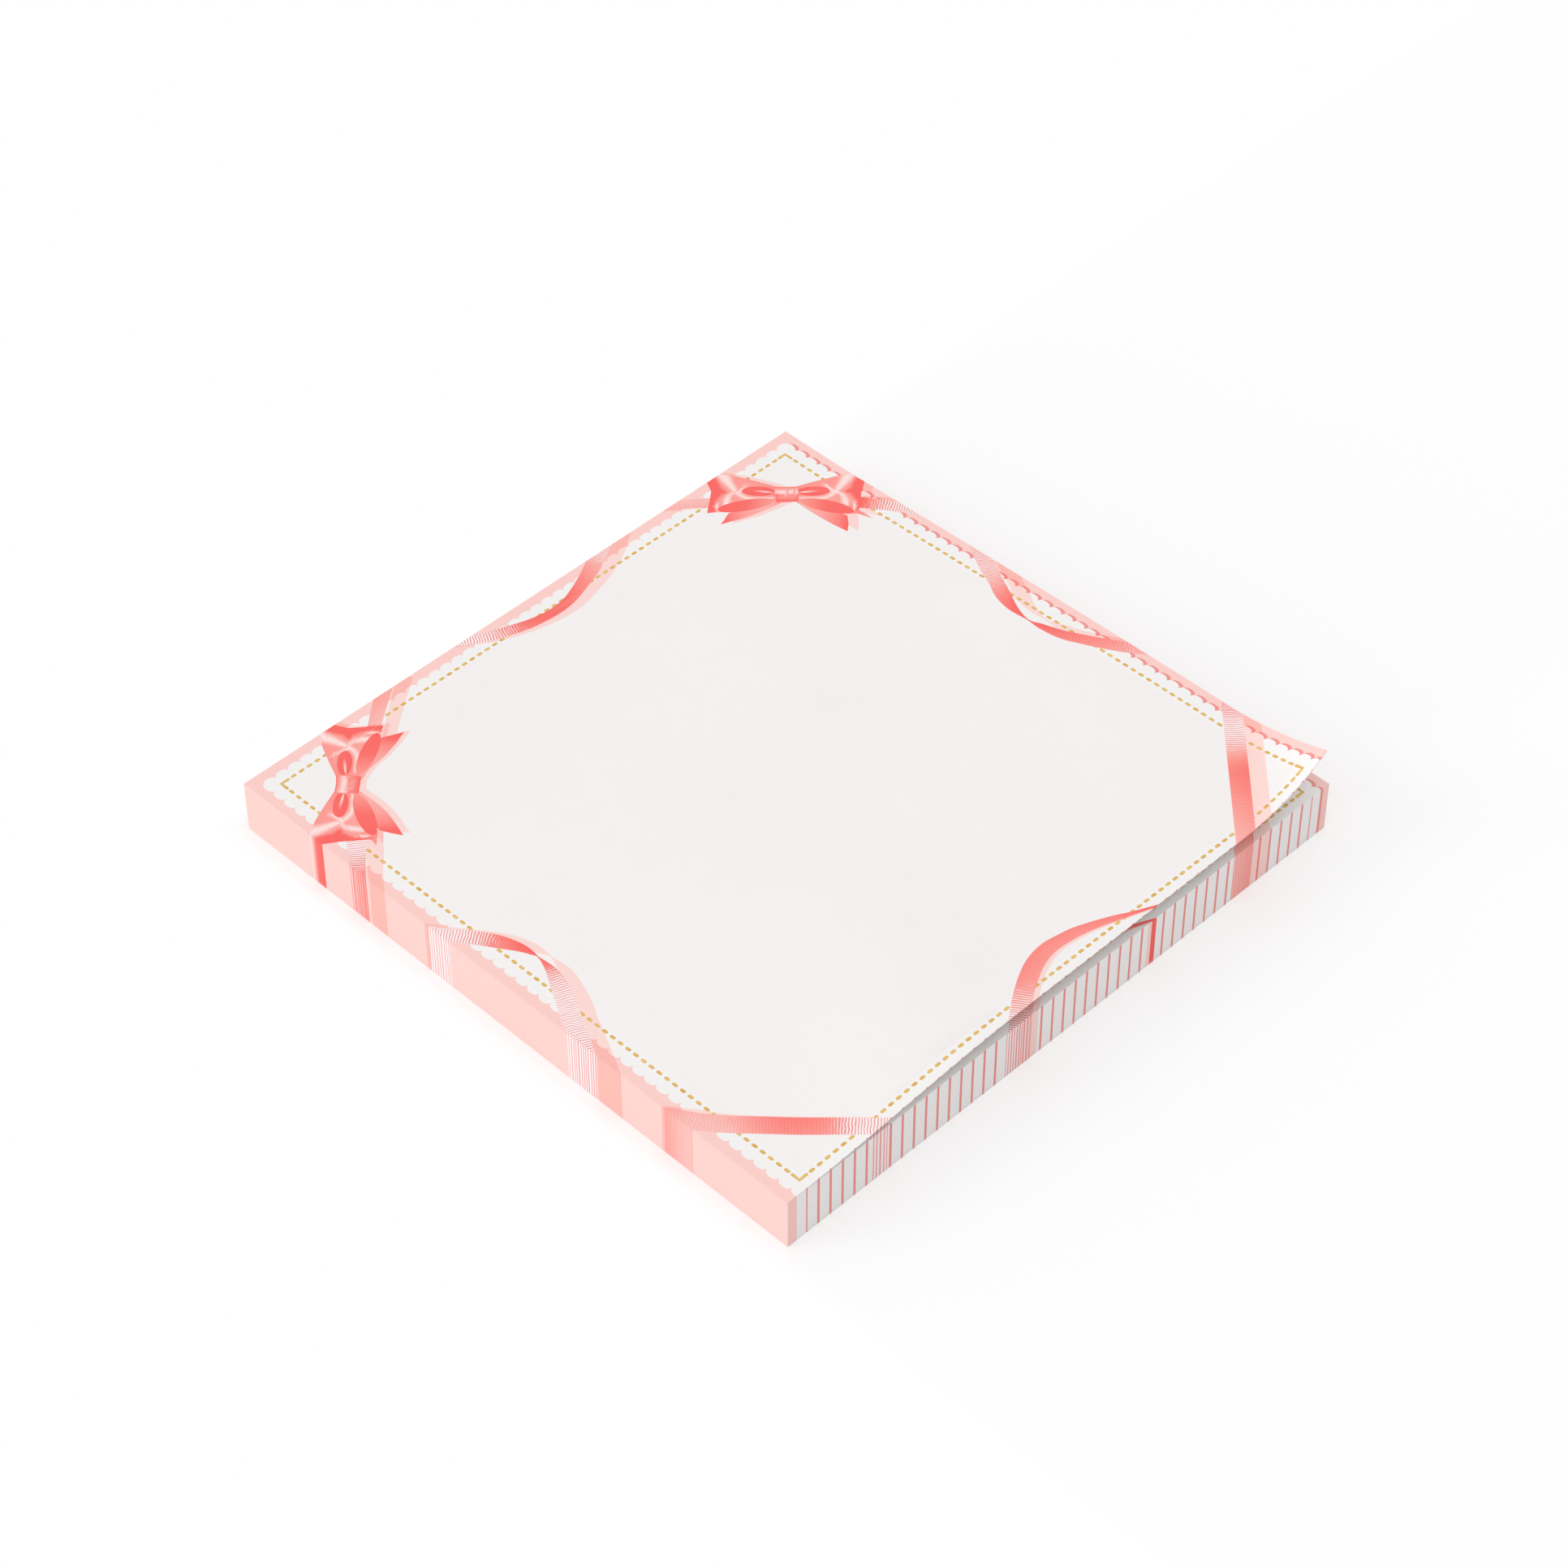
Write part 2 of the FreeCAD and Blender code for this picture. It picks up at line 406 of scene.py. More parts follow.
# %% Scalloped field
FIELD = (-36.62, 36.52, 36.5, -38.06)         # left, right, top and bottom
SCALLOP_DEPTH = 0.45
FREE_EDGE_DEPTH = 0.08
SCALLOPS_ACROSS, SCALLOPS_UP = 45, 45
SCALLOP_POINTS = 8
LOBES = {1: (1.0, 0.55), -1: (0.7, 0.3)}      # radius and inset of the lobes at the top (1) and the bottom (-1)
LOBE_POINTS = 18
LACE_SHADOW_SHIFT = (0.28, -0.3)


def corners_of(left, right, top, bottom):
    """Corners of an upright rectangle, clockwise from the lower left."""
    return np.array([(left, bottom), (left, top), (right, top), (right, bottom)])


def scallop_row(start, end, count, depth):
    """Row of scallops that bulge to the left of the way from start to end.

    Over each chord the bulge is the depth times sqrt(1 - (2f - 1)^2), half an ellipse.
    """
    along = (end - start) / np.linalg.norm(end - start)
    left = np.array([-along[1], along[0]])
    place = np.linspace(0, count, count * SCALLOP_POINTS, endpoint=False)
    bulge = depth * np.sqrt(1 - (2 * (place % 1) - 1) ** 2)
    return start + np.outer(place / count, end - start) + np.outer(bulge, left)


def lobe_reach(corner):
    """How far the lobe at a corner reaches along each side, to where it crosses the notch line."""
    radius, inset = LOBES[np.sign(corner[1])]
    return inset + math.sqrt(radius**2 - inset**2)


def lobe(corner):
    """Round lobe at a corner of the field, clockwise over the arc that lies outside both of its notch lines."""
    outwards = np.sign(corner)
    radius, inset = LOBES[outwards[1]]
    half_sweep = math.radians(45) + math.acos(inset / radius)
    middle = math.atan2(outwards[1], outwards[0])
    angle = middle + np.linspace(half_sweep, -half_sweep, LOBE_POINTS, endpoint=False)
    return corner - outwards * inset + radius * np.stack([np.cos(angle), np.sin(angle)], axis=1)


def lace_stretches():
    """The eight stretches of the scalloped outline, clockwise from the lower left: four rows and four lobes."""
    corners = corners_of(*FIELD)
    stretches = []
    for start, end, count in zip(corners, np.roll(corners, -1, axis=0), (SCALLOPS_UP, SCALLOPS_ACROSS) * 2):
        way = (end - start) / np.linalg.norm(end - start)
        first, last = start + way * lobe_reach(start), end - way * lobe_reach(end)
        on_free_edge = way[0] < -0.5
        depth = FREE_EDGE_DEPTH if on_free_edge else SCALLOP_DEPTH
        stretches += [scallop_row(first, last, count, depth), lobe(end)]
    return stretches


lace_ring = np.vstack(lace_stretches())
print_ink([lace_ring + LACE_SHADOW_SHIFT], flat_ink(LACE_SHADOW))
print_ink([lace_ring], flat_ink(LACE))
print(f"lace outline of {len(lace_ring)} points")

# %% Stitch line
STITCH = (-35.45, 35.35, 35.45, -36.98)       # left, right, top and bottom
DASH_LENGTH = 0.7
DASH_WIDTH = 0.36
DASH_PITCH = 1.045
CAP_POINTS = 5            # on the half circle at each end of a dash
CORNER_ARM = 0.9
PANEL_INSET = (0.5, -0.5, -0.5, 0.5)          # of the plain paper inside the stitch
GOLD_WAVES = (1.9, 5.3)   # radians per millimetre


def dash(line):
    """Ring of a stroke with round ends: half circles of the dash width about the two ends of a line."""
    along, left = directions(line)
    angle = np.linspace(-90, 90, CAP_POINTS)[:, None] * math.pi / 180
    cap = np.cos(angle) * along[-1] + np.sin(angle) * left[-1]
    start_cap = -np.cos(angle) * along[0] - np.sin(angle) * left[0]
    half = DASH_WIDTH / 2
    inner = (line[1:-1] + left[1:-1] * half)[::-1]
    return np.vstack([line[1:-1] - left[1:-1] * half, line[-1] + cap * half, inner, line[0] + start_cap * half])


def stitch_dashes():
    """All dashes: one row on each side between the corners, and an angled dash on each corner."""
    corners = corners_of(*STITCH)
    to_cap = (DASH_LENGTH - DASH_WIDTH) / 2
    dashes = []
    for corner, previous, following in zip(corners, np.roll(corners, 1, axis=0), np.roll(corners, -1, axis=0)):
        length = np.linalg.norm(following - corner)
        way = (following - corner) / length
        came = (corner - previous) / np.linalg.norm(corner - previous)
        dashes.append(dash(np.array([corner - came * CORNER_ARM, corner, corner + way * CORNER_ARM])))
        first = CORNER_ARM + DASH_PITCH - DASH_LENGTH / 2
        count = round((length - 2 * first) / DASH_PITCH) + 1
        for place in np.linspace(first, length - first, count):
            dashes.append(dash(corner + np.array([[place - to_cap], [place + to_cap]]) * way))
    return dashes


def gold_ink(points, below):
    """Gold that goes lighter and darker along the row in two slow waves that never quite meet."""
    waves = [np.sin(points.sum(-1) * wave) for wave in GOLD_WAVES]
    return mix(GOLD, GOLD_LIGHT, 0.5 + 0.25 * sum(waves))


stitches = stitch_dashes()
print_ink([corners_of(*np.add(STITCH, PANEL_INSET))], flat_ink(PAPER))
print(f"{len(stitches)} stitches")

# %% [markdown]
# ## Ribbons
#
# A loose ribbon swirls in and out over each side, and a straight one crosses each near corner. Each is one
# line of stations that hold a place, a width, a tone and how frayed the satin is there, from 0 for whole
# satin to 1 for bare threads. Where a ribbon turns over, its width closes to nothing and opens again. A
# spline through all five values at once keeps them in step. The colour rule reads the tone of the nearest
# point of the line, a little deeper towards one side, which gives the satin its roundness. The ends of two
# more ribbons stick out from behind each bow, and their stations are set in the bow's own frame: from its
# knot, X along its loops and Y towards the corner of the pad.
#
# All ribbons throw a faint shadow down and to the right, under the stitches and over everything else. Where a
# ribbon lies flatter, its shadow falls less far from it.

# %% Ribbon routes: x, y, width, tone, fray
RIBBONS = {
    "top_swirl": [
        (-12.2, 40.2, 1.3, 0.2, 0.9), (-10.4, 39.2, 1.3, 0.2, 0.9), (-8.7, 38.1, 1.4, 0.3, 0.9),
        (-6.6, 36.85, 1.5, 0.5, 0.75), (-4.8, 36.08, 1.5, 1.0, 0.35), (-2.2, 35.2, 1.3, 1.6, 0),
        (0.5, 34.74, 1.15, 1.85, 0), (2.95, 34.9, 1.25, 1.7, 0), (5.6, 35.76, 1.45, 1.25, 0),
        (7.9, 36.73, 1.75, 0.7, 0), (9.0, 37.33, 1.8, 0.4, 0.15), (9.9, 37.83, 1.85, 0.1, 0.45),
        (11.0, 38.4, 1.7, 0, 0.55),
        (12.2, 39.1, 1.3, 0, 0.5), (14.0, 40.2, 1.0, 0, 0.5),
    ],
    "left_swirl": [
        (-40.6, 13.0, 1.9, 0, 1.0), (-39.4, 11.0, 1.9, 0, 1.0), (-38.3, 9.35, 1.9, 0, 1.0),
        (-37.2, 7.95, 1.8, 0.3, 0.95), (-36.0, 6.35, 1.75, 0.7, 0.7), (-35.1, 4.97, 1.75, 1.1, 0.15),
        (-34.38, 3.63, 1.5, 1.45, 0), (-33.76, 2.15, 1.0, 1.8, 0), (-33.49, 0.99, 0.5, 1.95, 0),
        (-33.42, 0.18, 0.12, 1.9, 0), (-33.54, -1.0, 0.6, 1.6, 0), (-33.75, -2.05, 1.1, 1.2, 0.3),
        (-34.12, -3.08, 1.5, 0.9, 0.7), (-34.63, -4.18, 1.75, 0.5, 0.9), (-35.2, -5.43, 1.9, 0.3, 0.97),
        (-35.87, -6.66, 2.0, 0.3, 1.0), (-36.64, -8.02, 1.95, 0.3, 1.0), (-37.3, -9.38, 1.9, 0.3, 0.95),
        (-37.95, -10.6, 1.88, 0.3, 0.9), (-39.0, -12.6, 1.85, 0.5, 0.8), (-40.6, -15.4, 1.85, 0.5, 0.8),
    ],
    "right_swirl": [
        (40.1, 12.5, 1.9, 0, 0.3), (39.0, 10.7, 1.9, 0, 0.3), (37.9, 8.9, 1.85, 0, 0.3),
        (36.8, 7.1, 1.75, 0, 0.4), (35.8, 5.05, 1.6, 0.5, 0.2), (34.7, 2.95, 1.65, 1.25, 0),
        (33.9, 0.84, 1.0, 1.8, 0),
        (33.6, -1.5, 0.15, 1.9, 0), (33.8, -3.2, 0.8, 1.8, 0), (34.35, -5.6, 1.3, 1.45, 0),
        (35.3, -7.7, 1.45, 1.2, 0), (36.2, -9.5, 1.55, 1.0, 0), (37.4, -11.6, 1.6, 0.7, 0.12),
        (38.6, -13.4, 1.6, 0.5, 0.2), (39.8, -15.2, 1.6, 0.5, 0.2),
    ],
    "front_swirl": [
        (-9.3, -39.7, 1.9, 0.2, 1.0), (-8.2, -38.85, 1.95, 0.3, 0.95), (-6.97, -37.96, 1.95, 0.5, 0.55),
        (-5.87, -37.18, 1.95, 0.5, 0.3), (-4.65, -36.4, 1.92, 0.75, 0.1), (-3.42, -35.72, 1.9, 0.95, 0),
        (-2.04, -35.07, 1.85, 1.05, 0), (-0.57, -34.65, 1.75, 1.05, 0), (0.93, -34.5, 1.6, 1.05, 0),
        (2.43, -34.66, 1.42, 1.1, 0), (3.94, -34.93, 1.3, 1.1, 0), (5.4, -35.37, 1.08, 1.15, 0),
        (6.85, -35.9, 0.9, 1.2, 0), (8.27, -36.5, 0.75, 1.3, 0), (9.5, -37.05, 0.5, 1.5, 0),
        (10.8, -37.6, 0.36, 1.8, 0), (12.1, -38.15, 0.26, 2.1, 0), (13.3, -38.7, 0.3, 2.1, 0),
    ],
    "near_straight": [
        (-41.3, -19.8, 2.3, 0.8, 0), (-40.0, -21.4, 2.3, 0.8, 0), (-38.49, -23.31, 2.2, 0.35, 0),
        (-37.7, -24.45, 2.15, 0.05, 0), (-36.94, -25.6, 2.1, 0, 0), (-35.25, -27.75, 2.07, 0.2, 0),
        (-33.7, -29.45, 2.05, 0.8, 0), (-32.0, -31.4, 2.03, 1.25, 0), (-30.24, -33.35, 2.03, 1.2, 0),
        (-28.6, -35.1, 1.98, 0.9, 0.2), (-27.7, -36.1, 1.95, 0.5, 0.8), (-26.54, -37.38, 1.9, 0.4, 0.95),
        (-25.0, -39.1, 1.9, 0.4, 0.9), (-23.8, -40.4, 1.9, 0.5, 0.8),
    ],
    "curl_straight": [
        (41.2, -22.1, 2.05, 0.6, 0.25), (40.0, -23.35, 2.05, 0.6, 0.25), (38.1, -25.2, 2.05, 0.7, 0.3),
        (37.2, -26.1, 2.05, 0.6, 0.7), (36.3, -27.0, 2.05, 0.5, 0.95), (35.2, -28.1, 2.05, 0.5, 0.85),
        (34.4, -28.9, 2.05, 0.3, 0.5), (33.7, -29.6, 2.05, 0.3, 0.1), (32.9, -30.4, 2.05, 0.95, 0),
        (31.7, -31.6, 2.05, 1.45, 0), (30.4, -32.9, 2.05, 1.3, 0), (28.2, -35.1, 2.05, 0.9, 0),
        (25.1, -38.2, 2.05, 0.4, 0), (23.6, -39.7, 2.05, 0.3, 0), (22.4, -40.9, 2.05, 0.3, 0),
    ],
}
BOW_RIBBONS = {           # by bow: 1 on the +X side, -1 on the -X side
    1: [
        [
            (6.5, -1.3, 1.85, 1.9, 0), (7.6, -1.42, 1.85, 1.8, 0), (8.6, -1.6, 1.8, 1.2, 0.1),
            (9.5, -1.8, 1.72, 0.9, 0.2), (10.5, -1.98, 1.7, 0.6, 0.45), (12.0, -2.35, 1.7, 0.4, 0.75),
            (15.5, -3.2, 1.7, 0.3, 0.85),
        ],
        [
            (-6.5, -1.25, 1.5, 0.1, 0), (-9.0, -1.35, 1.5, 0.15, 0), (-11.0, -1.55, 1.4, 0.1, 0),
            (-15.5, -2.1, 1.3, 0, 0),
        ],
    ],
    -1: [
        [
            (6.5, -1.15, 1.95, 0.5, 0.9), (8.0, -1.3, 1.9, 0.4, 1.0), (9.5, -1.5, 1.8, 0.5, 0.9),
            (11.0, -1.65, 1.6, 0.8, 0.4), (12.5, -1.8, 1.45, 1.05, 0.15), (15.5, -2.15, 1.4, 1.1, 0.12),
        ],
        [
            (-6.5, -1.85, 1.4, 0.1, 0), (-8.7, -2.1, 1.4, 0.15, 0), (-10.5, -2.3, 1.5, 0.3, 0),
            (-12.0, -2.5, 1.55, 0.5, 0), (-15.5, -3.0, 1.6, 0.5, 0),
        ],
    ],
}
BOW_CENTRE = 30.75
SHADOW_SHIFTS = {         # how far the shadow falls right and down from a ribbon's start, middle and end
    "top_swirl": (0.3, 0.85, 1.35),
    "left_swirl": (0.8, 0.88, 1.22),
    "right_swirl": (1.5, 1.3, 1.22),
    "front_swirl": (0.4, 0.36, 0.3),
}
PLAIN_SHADOW_SHIFT = (1.22, 1.22, 1.22)
ROUNDNESS = 0.16


def bow_frame(side):
    """Turn between bow and pad for the bow on the +X side (1) or the -X side (-1): rows are its two axes."""
    diagonal = math.sqrt(0.5)
    axes = np.array([[side * diagonal, -diagonal], [side * diagonal, diagonal]])
    centre = np.array([side * BOW_CENTRE, BOW_CENTRE])
    return axes, centre


def ribbon(stations, shadow_shift):
    """Ring, shadow ring, colour rule and thread rule of one ribbon.

    The ring is the line plus and minus half the width to its left, and its shadow the same ring, shifted
    along the pad's diagonal by a length that goes from one stop to the next. Tone is that of the nearest
    point of the line, plus the roundness times the place across, from -1 on the right to 1 on the left.
    Threads are the run along the line, the offset across it and 1 plus the fray, so that a pattern can follow
    the ribbon and no other ink.
    """
    line = through(stations)
    route, width, tone, fray = line[:, :2], line[:, 2:3], line[:, 3], line[:, 4]
    along, left = directions(route)
    run = np.concatenate([[0], np.linalg.norm(np.diff(route, axis=0), axis=1).cumsum()])
    ring = np.vstack([route + left * width / 2, (route - left * width / 2)[::-1]])
    shift = np.interp(run / run[-1], (0, 0.5, 1), shadow_shift)
    shadow_ring = ring + np.outer(np.concatenate([shift, shift[::-1]]), (1, -1))

    def nearest(points):
        index = np.linalg.norm(points[..., None, :] - route, axis=-1).argmin(-1)
        offset = points - route[index]
        return index, (offset * along[index]).sum(-1), (offset * left[index]).sum(-1)

    def paint(points, below):
        index, _, across = nearest(points)
        return satin(tone[index] + ROUNDNESS * np.clip(across / width[index, 0] * 2, -1, 1))

    def threads(points):
        index, ahead, across = nearest(points)
        return np.stack([run[index] + ahead, across, 1 + fray[index]], axis=-1)

    return ring, shadow_ring, paint, threads


routes = dict(RIBBONS)
for side, ends in BOW_RIBBONS.items():
    axes, centre = bow_frame(side)
    for number, stations in enumerate(ends):
        stations = np.array(stations)
        routes[f"bow_{side}_{number}"] = np.column_stack([stations[:, :2] @ axes + centre, stations[:, 2:]])
ribbons = [ribbon(stations, SHADOW_SHIFTS.get(name, PLAIN_SHADOW_SHIFT)) for name, stations in routes.items()]
print_ink([shadow_ring for _, shadow_ring, _, _ in ribbons], shadow_ink)
print_ink(stitches, gold_ink)
for ring, _, paint, threads in ribbons:
    print_ink([ring], paint, threads)
print(f"{len(ribbons)} ribbons with {sum(len(stations) for stations in routes.values())} stations")

# %% [markdown]
# ## Bows
#
# A bow sits on each of the two far corners. It is the common flat bow of gift wrap: two loops, each with the
# dark mouth of its fold, two tails under them and a knot over the middle. One half is drawn with X out along
# the loop and Y towards the pad's corner, and the other half is its mirror image. The second bow mirrors the
# first, and only the fall of its tails is its own. Light lines along the folds are drawn as distances: a
# point near a fold line takes on its light. The outer end of a loop turns over into a deep band, whose inner
# edge comes to a point at the pinch.

# %% Bow shapes, in millimetres from the knot
LOOP_BACK = [(0.9, 1.25), (2.8, 2.05), (5.2, 2.95), (7.1, 3.35), (8.7, 3.4)]
LOOP = {                  # by half: 1 is the side of the long tail
    1: LOOP_BACK + [
        (8.4, 2.0), (8.05, 0.3), (7.9, -1.2), (7.7, -2.9), (6.9, -2.9), (5.5, -2.75), (3.3, -1.95),
        (0.9, -0.9),
    ],
    -1: LOOP_BACK + [
        (8.4, 1.95), (7.95, 0.55), (8.1, -1.0), (8.35, -2.95), (7.2, -2.8), (5.5, -2.6), (3.3, -1.9),
        (0.9, -0.9),
    ],
}

# Ovals: centre, half length, half width, tilt in degrees and, for the glint, how many points
MOUTH = {1: ((4.35, -1.93), 3.0, 0.92, -20.0), -1: ((4.3, -1.7), 3.05, 0.86, -14.5)}
FOLD = ((2.95, 0.57), 1.74, 0.77, 2.0)
GLINT = ((2.5, 0.52), 1.25, 0.13, 7.5, 24)

KNOT = [
    (-1.15, 1.3), (0.0, 1.24), (1.28, 1.32), (1.36, 0.1), (1.3, -1.1), (0.1, -1.18), (-1.05, -1.2),
    (-1.18, 0.0),
]
TAILS = {                 # by bow: shift of the shadow, long tail, short tail, and the tip behind the long one
    1: (
        (0.86, -0.74),
        [
            (0.5, -0.6), (1.3, -1.4), (3.2, -3.4), (4.9, -4.95), (6.5, -6.2), (6.6, -4.9), (6.5, -3.6),
            (5.0, -2.6), (3.0, -1.6),
        ],
        [
            (0.4, -0.9), (0.6, -1.4), (2.0, -2.35), (4.0, -3.55), (6.9, -4.75), (6.5, -4.0), (6.1, -3.0),
            (4.9, -2.2), (3.0, -1.4),
        ],
        [(6.4, -3.3), (7.5, -3.3), (9.2, -4.15), (8.6, -3.5), (7.8, -2.8), (6.6, -2.6)],
    ),
    -1: (
        (0.66, -0.26),
        [
            (0.5, -0.6), (1.3, -1.5), (2.7, -3.0), (4.0, -4.1), (5.4, -4.95), (7.22, -5.9), (6.9, -4.7),
            (6.5, -3.5), (5.0, -2.5), (3.0, -1.6),
        ],
        [
            (0.4, -0.9), (0.6, -1.3), (2.0, -1.9), (4.0, -3.4), (5.7, -4.35), (7.42, -5.1), (6.95, -4.0),
            (6.58, -2.9), (4.9, -2.2), (3.0, -1.4),
        ],
        [(6.5, -3.35), (8.6, -3.32), (7.8, -2.8), (7.1, -2.3), (6.5, -2.4)],
    ),
}

# %% Bow lights and tones
FOLD_LIGHTS = [           # lines of x, y and the breadth of the light
    [(6.85, 3.5, 0.82), (6.5, 2.7, 0.68), (6.1, 1.9, 0.5), (5.65, 1.1, 0.36), (5.3, 0.45, 0.2)],
    [(5.4, 0.35, 0.16), (5.95, 0.0, 0.22), (6.2, -0.6, 0.34), (6.3, -1.2, 0.38), (6.45, -1.8, 0.26)],
    [
        (5.2, 0.35, 0.24), (4.7, -0.2, 0.25), (4.1, -0.55, 0.24), (3.2, -0.68, 0.2), (2.2, -0.6, 0.16),
        (1.2, -0.4, 0.12),
    ],
    [(4.1, 1.75, 0.1), (4.5, 1.2, 0.15), (4.8, 0.6, 0.17)],
    [(7.2, -1.3, 0.1), (7.32, -2.0, 0.16), (7.1, -2.7, 0.14)],
]
FOLD_LIGHT_STRENGTH = 0.95
KNOT_LIGHTS = [           # strength and line of each light
    (0.8, [(-0.95, 0.45, 0.22), (-0.3, 0.4, 0.34), (0.4, 0.42, 0.36), (1.0, 0.5, 0.3)]),
    (0.45, [(0.95, 1.0, 0.16), (1.05, 0.5, 0.2), (1.0, 0.1, 0.14)]),
    (0.3, [(-0.6, -0.42, 0.16), (0.1, -0.4, 0.2), (0.8, -0.42, 0.14)]),
]

# Stops of a place and a value: along X from the knot outwards, or across along Y
LOOP_ALONG = ((1.2, 1.15), (2.4, 0.9), (4.2, 0.75), (6.2, 0.85), (9.0, 1.0))
LOOP_ACROSS = ((-2.4, 0.1), (-1.4, -0.1), (0.6, -0.1), (2.6, 0.1))
GLINT_ALONG = ((1.3, 0.6), (1.9, 0.15), (2.6, 0.3), (3.3, 0.75), (3.8, 1.0))
KNOT_ACROSS = (
    (-1.2, 2.0), (-0.6, 1.4), (-0.2, 1.3), (-0.02, 1.7), (0.1, 0.5), (0.6, 0.3), (0.95, 0.7), (1.3, 1.7),
)
BAND_EDGE = (
    (-2.9, 7.2), (-2.0, 7.3), (-1.0, 7.2), (0.0, 6.6), (0.4, 5.9), (1.0, 6.65), (2.0, 6.95), (3.0, 7.1),
)
BAND_FADE = 0.55          # how far past that edge the end band reaches its own tone
BAND_TONE = 2.1


def between(places, stops):
    """Value at each place, straight between the stops."""
    return np.interp(places, *np.array(stops).T)


def satin_rule(along, across=((0, 0),)):
    """A tone rule for plain satin, the sum of its values along X and along Y."""
    return lambda x, y: satin(between(x, along) + between(y, across))


tail_tone = satin_rule(((0.0, 1.1), (2.0, 0.4), (4.0, 0.6), (5.6, 1.2), (6.6, 1.9)), ((-7.0, 0.4), (1.0, -0.4)))
tip_tone = satin_rule(((6.4, 1.3), (8.0, 1.0), (9.2, 0.6)))
mouth_tone = satin_rule(((1.2, 0.8), (2.6, 1.2), (4.2, 1.85), (7.0, 2.0)))
fold_tone = satin_rule(((1.2, 2.2), (2.6, 1.9)), ((-0.4, 0.3), (0.6, 0.0)))


def near_line(x, y, line):
    """How close points are to a line of places and breadths: exp(-(d / breadth)^3) at a distance d from it."""
    line = through(line)
    distance = np.hypot(x[..., None] - line[:, 0], y[..., None] - line[:, 1])
    return np.exp(-((distance / line[:, 2]) ** 3)).max(-1)


def loop_tone(x, y):
    """Satin with a light along each fold line, and past the edge of the end band its deepest tone."""
    band = smooth_step((x - between(y, BAND_EDGE)) / BAND_FADE)
    tone = between(x, LOOP_ALONG) + between(y, LOOP_ACROSS)
    colour = satin(tone * (1 - band) + BAND_TONE * band)
    for line in FOLD_LIGHTS:
        colour = mix(colour, SATIN_LIGHT, near_line(x, y, line) * FOLD_LIGHT_STRENGTH)
    return colour


def glint_tone(x, y):
    """A soft light along the inside of the fold, brightest near the knot."""
    return mix(SATIN_LIGHT, RIBBON_DEEP, between(x, GLINT_ALONG))


def knot_tone(x, y):
    """The knot: dark along its top, pale over its roundest part, a crease under that and deep below."""
    colour = satin(between(y, KNOT_ACROSS))
    for strength, line in KNOT_LIGHTS:
        colour = mix(colour, SATIN_LIGHT, near_line(x, y, line) * strength)
    return colour


# %% Both bows


def bow_shapes(side):
    """One bow's rings and tone rules from the lowest to the highest, each with the half that it belongs to."""
    _, long_tail, short_tail, tip = TAILS[side]
    shapes = [(1, tip, tip_tone), (1, long_tail, tail_tone), (-1, short_tail, tail_tone)]
    for half in (1, -1):
        shapes += [(half, LOOP[half], loop_tone), (half, oval(*MOUTH[half]), mouth_tone)]
        shapes += [(half, oval(*FOLD), fold_tone), (half, oval(*GLINT), glint_tone)]
    return shapes + [(1, KNOT, knot_tone)]


def print_bow(side):
    """Print one bow, its shadow first, and return the rings of its shapes on the pad."""
    axes, centre = bow_frame(side)
    placed = []
    for half, ring, tone in bow_shapes(side):
        local = np.array(ring) * (half, 1)

        def paint(points, below, half=half, tone=tone):
            local_points = (points - centre) @ axes.T * (half, 1)
            return tone(local_points[..., 0], local_points[..., 1])

        placed.append((local @ axes + centre, paint))
    print_ink([ring + TAILS[side][0] for ring, _ in placed], shadow_ink)
    for ring, paint in placed:
        print_ink([ring], paint)
    return [ring for ring, _ in placed]


bow_rings = {side: print_bow(side) for side in (1, -1)}
print(f"{len(bow_shapes(1))} shapes in a bow, {len(LAYERS)} inks in all")

# %% [markdown]
# ## From print to mesh
#
# The print could be a picture wrapped on a plain sheet, but then it would blur up close and belong to
# nobody's geometry. Here every printed edge is an edge of the mesh. A constrained Delaunay triangulation
# takes all outlines at once and fills the note with triangles that never cross them. Extra points let shades
# run smoothly inside the bows, and extra lines along the curl let it bend without facets.

# %% Points and lines to cut along
GRID_STEP = 2.0
BOW_STEP = 0.27
BOW_REACH = 10.0
RULING_STEP = 0.35        # between the lines along the curl
RULING_POINTS_STEP = 1.2  # between the points of one of them
MERGE = 1e-5


def grid_points(step, reach):
    """Square grid of points centred on the origin."""
    ticks = np.arange(-math.floor(reach / step), math.floor(reach / step) + 1) * step
    return np.stack(np.meshgrid(ticks, ticks), axis=-1).reshape(-1, 2)


def border_ring():
    """The note's square border, counter-clockwise, with a point about every grid step."""
    count = round(2 * HALF / GRID_STEP)
    ticks = np.linspace(-HALF, HALF, count, endpoint=False)
    edge = np.full(count, HALF)
    sides = ((ticks, -edge), (edge, ticks), (-ticks, edge), (-edge, -ticks))
    return np.vstack([np.stack(side, axis=1) for side in sides])


def curl_rulings():
    """Straight lines along the curl, across which the bent paper turns: each at one distance from the tip."""
    rulings = []
    for distance in np.arange(RULING_STEP, CURL_REACH + 2 * RULING_STEP, RULING_STEP):
        span = distance * math.sqrt(2)
        start, end = np.array([HALF - span, -HALF]), np.array([HALF, span - HALF])
        share = np.linspace(0, 1, max(2, round(span * math.sqrt(2) / RULING_POINTS_STEP)))[:, None]
        rulings.append(start + share * (end - start))
    return rulings


def bow_points(side):
    """Fine grid over one bow, kept where it lies in one of the bow's rings."""
    axes, centre = bow_frame(side)
    grid = grid_points(BOW_STEP, BOW_REACH) @ axes + centre
    return grid[inside_any(grid, bow_rings[side])]


